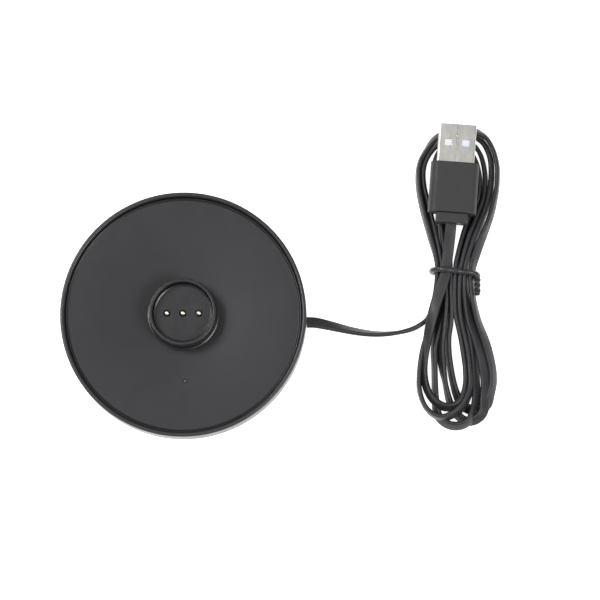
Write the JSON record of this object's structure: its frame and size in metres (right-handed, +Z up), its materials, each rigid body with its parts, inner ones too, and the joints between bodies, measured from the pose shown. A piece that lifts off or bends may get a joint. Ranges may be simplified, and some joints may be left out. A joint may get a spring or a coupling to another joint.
{
  "type": "watch charging dock",
  "caption": "Round black charging dock for a wrist watch: inset top plate, raised centre collar with spring contact pins, and a flat USB lead bundled under a twist tie.",
  "frame": {"origin": "centre of the dock's underside, on the surface that it stands on", "axes": "+Z up through the docking collar; +X towards the side where the lead leaves the dock; the row of contact pins lies along X"},
  "size_m": [0.1405, 0.1011, 0.0152],
  "materials": {
    "gloss_black": "smooth semi-gloss black moulded side wall and rim",
    "plate_black": "fine spark-eroded matte black moulding",
    "gilt": "gold-plated contact metal",
    "spring_steel": "drawn spring steel",
    "magnet_nickel": "nickel-plated magnet",
    "circuit_green": "green solder mask on glass epoxy",
    "led_white": "white indicator package",
    "light_pipe": "translucent light pipe",
    "zinc_steel": "zinc-plated steel",
    "foot_rubber": "soft matte non-slip rubber",
    "cord_black": "soft satin black cord jacket",
    "wire_red": "red wire insulation",
    "wire_white": "white wire insulation",
    "wire_black": "black wire insulation",
    "tie_black": "glossy plastic-coated wire",
    "usb_nickel": "satin nickel-plated folded steel",
    "usb_plastic": "bluish white plastic",
    "overmould_black": "matte black overmoulding"
  },
  "bodies": {
    "dock": {"housing": "gloss_black", "top_plate": "plate_black", "docking_collar": "plate_black", "contact_carrier": "plate_black", "pin_barrel_left": "gilt", "pin_barrel_middle": "gilt", "pin_barrel_right": "gilt", "pin_spring_left": "spring_steel", "pin_spring_middle": "spring_steel", "pin_spring_right": "spring_steel", "magnet_rear": "magnet_nickel", "magnet_front": "magnet_nickel", "circuit_board": "circuit_green", "indicator_led": "led_white", "indicator_light_pipe": "light_pipe", "ballast_plate": "zinc_steel", "base_cover": "plate_black", "foot_ring": "foot_rubber", "base_screw_1": "zinc_steel", "base_screw_2": "zinc_steel", "base_screw_3": "zinc_steel", "base_screw_4": "zinc_steel", "board_screw_left": "zinc_steel", "board_screw_right": "zinc_steel", "clamp_screw_rear": "zinc_steel", "clamp_screw_front": "zinc_steel", "cable_gland": "cord_black", "cable_tail": "cord_black", "cable_clamp": "plate_black", "wire_red": "wire_red", "wire_white": "wire_white", "wire_black": "wire_black", "cord_lead": "cord_black", "cord_hank": "cord_black", "cord_plug_lead": "cord_black", "twist_tie": "tie_black", "usb_shell": "usb_nickel", "usb_insulator": "usb_plastic", "usb_contact_1": "gilt", "usb_contact_2": "gilt", "usb_contact_3": "gilt", "usb_contact_4": "gilt", "usb_overmould": "overmould_black", "usb_strain_relief": "overmould_black"},
    "pin_left": {"pin_plunger_left": "gilt"},
    "pin_middle": {"pin_plunger_middle": "gilt"},
    "pin_right": {"pin_plunger_right": "gilt"}
  },
  "joints": [
    {"name": "pin_left_slide", "type": "slide", "parent": "dock", "child": "pin_left", "axis": [0, 0, 1], "range_m": [-0.001, 0], "stiffness_N_per_m": 600, "springref_m": 0.0004, "deforming": ["pin_spring_left"]},
    {"name": "pin_middle_slide", "type": "slide", "parent": "dock", "child": "pin_middle", "axis": [0, 0, 1], "range_m": [-0.001, 0], "stiffness_N_per_m": 600, "springref_m": 0.0004, "deforming": ["pin_spring_middle"]},
    {"name": "pin_right_slide", "type": "slide", "parent": "dock", "child": "pin_right", "axis": [0, 0, 1], "range_m": [-0.001, 0], "stiffness_N_per_m": 600, "springref_m": 0.0004, "deforming": ["pin_spring_right"]}
  ]
}
